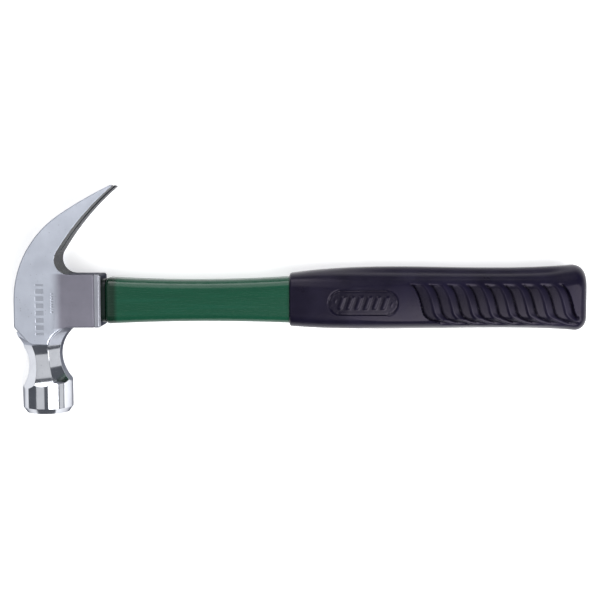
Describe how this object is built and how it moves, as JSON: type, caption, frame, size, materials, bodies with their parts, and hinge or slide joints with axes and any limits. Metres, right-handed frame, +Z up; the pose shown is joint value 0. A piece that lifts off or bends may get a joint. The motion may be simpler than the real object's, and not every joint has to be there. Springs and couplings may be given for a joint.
{
  "type": "claw hammer",
  "caption": "Claw hammer with a forged steel head, curved claws, octagonal neck, green jacketed fibreglass handle and a ribbed black rubber grip.",
  "frame": {"origin": "under the middle of the hammer's overall box, on the surface that it lies on", "axes": "+X along the handle towards the butt, +Y towards the claws, -Y towards the striking face, +Z up through the side of the hammer"},
  "size_m": [0.33, 0.134, 0.029],
  "materials": {
    "forged_steel": "ground and polished",
    "collar_seal": "matte",
    "potting_resin": "cast",
    "pultruded_core": "pultruded fibreglass",
    "green_jacket": "moulded gloss",
    "grip_rubber": "moulded satin"
  },
  "bodies": {
    "root": {"hammer_head": "forged_steel", "eye_collar": "collar_seal", "eye_resin": "potting_resin", "fibreglass_core": "pultruded_core", "handle_jacket": "green_jacket", "grip_sleeve": "grip_rubber"}
  },
  "joints": []
}
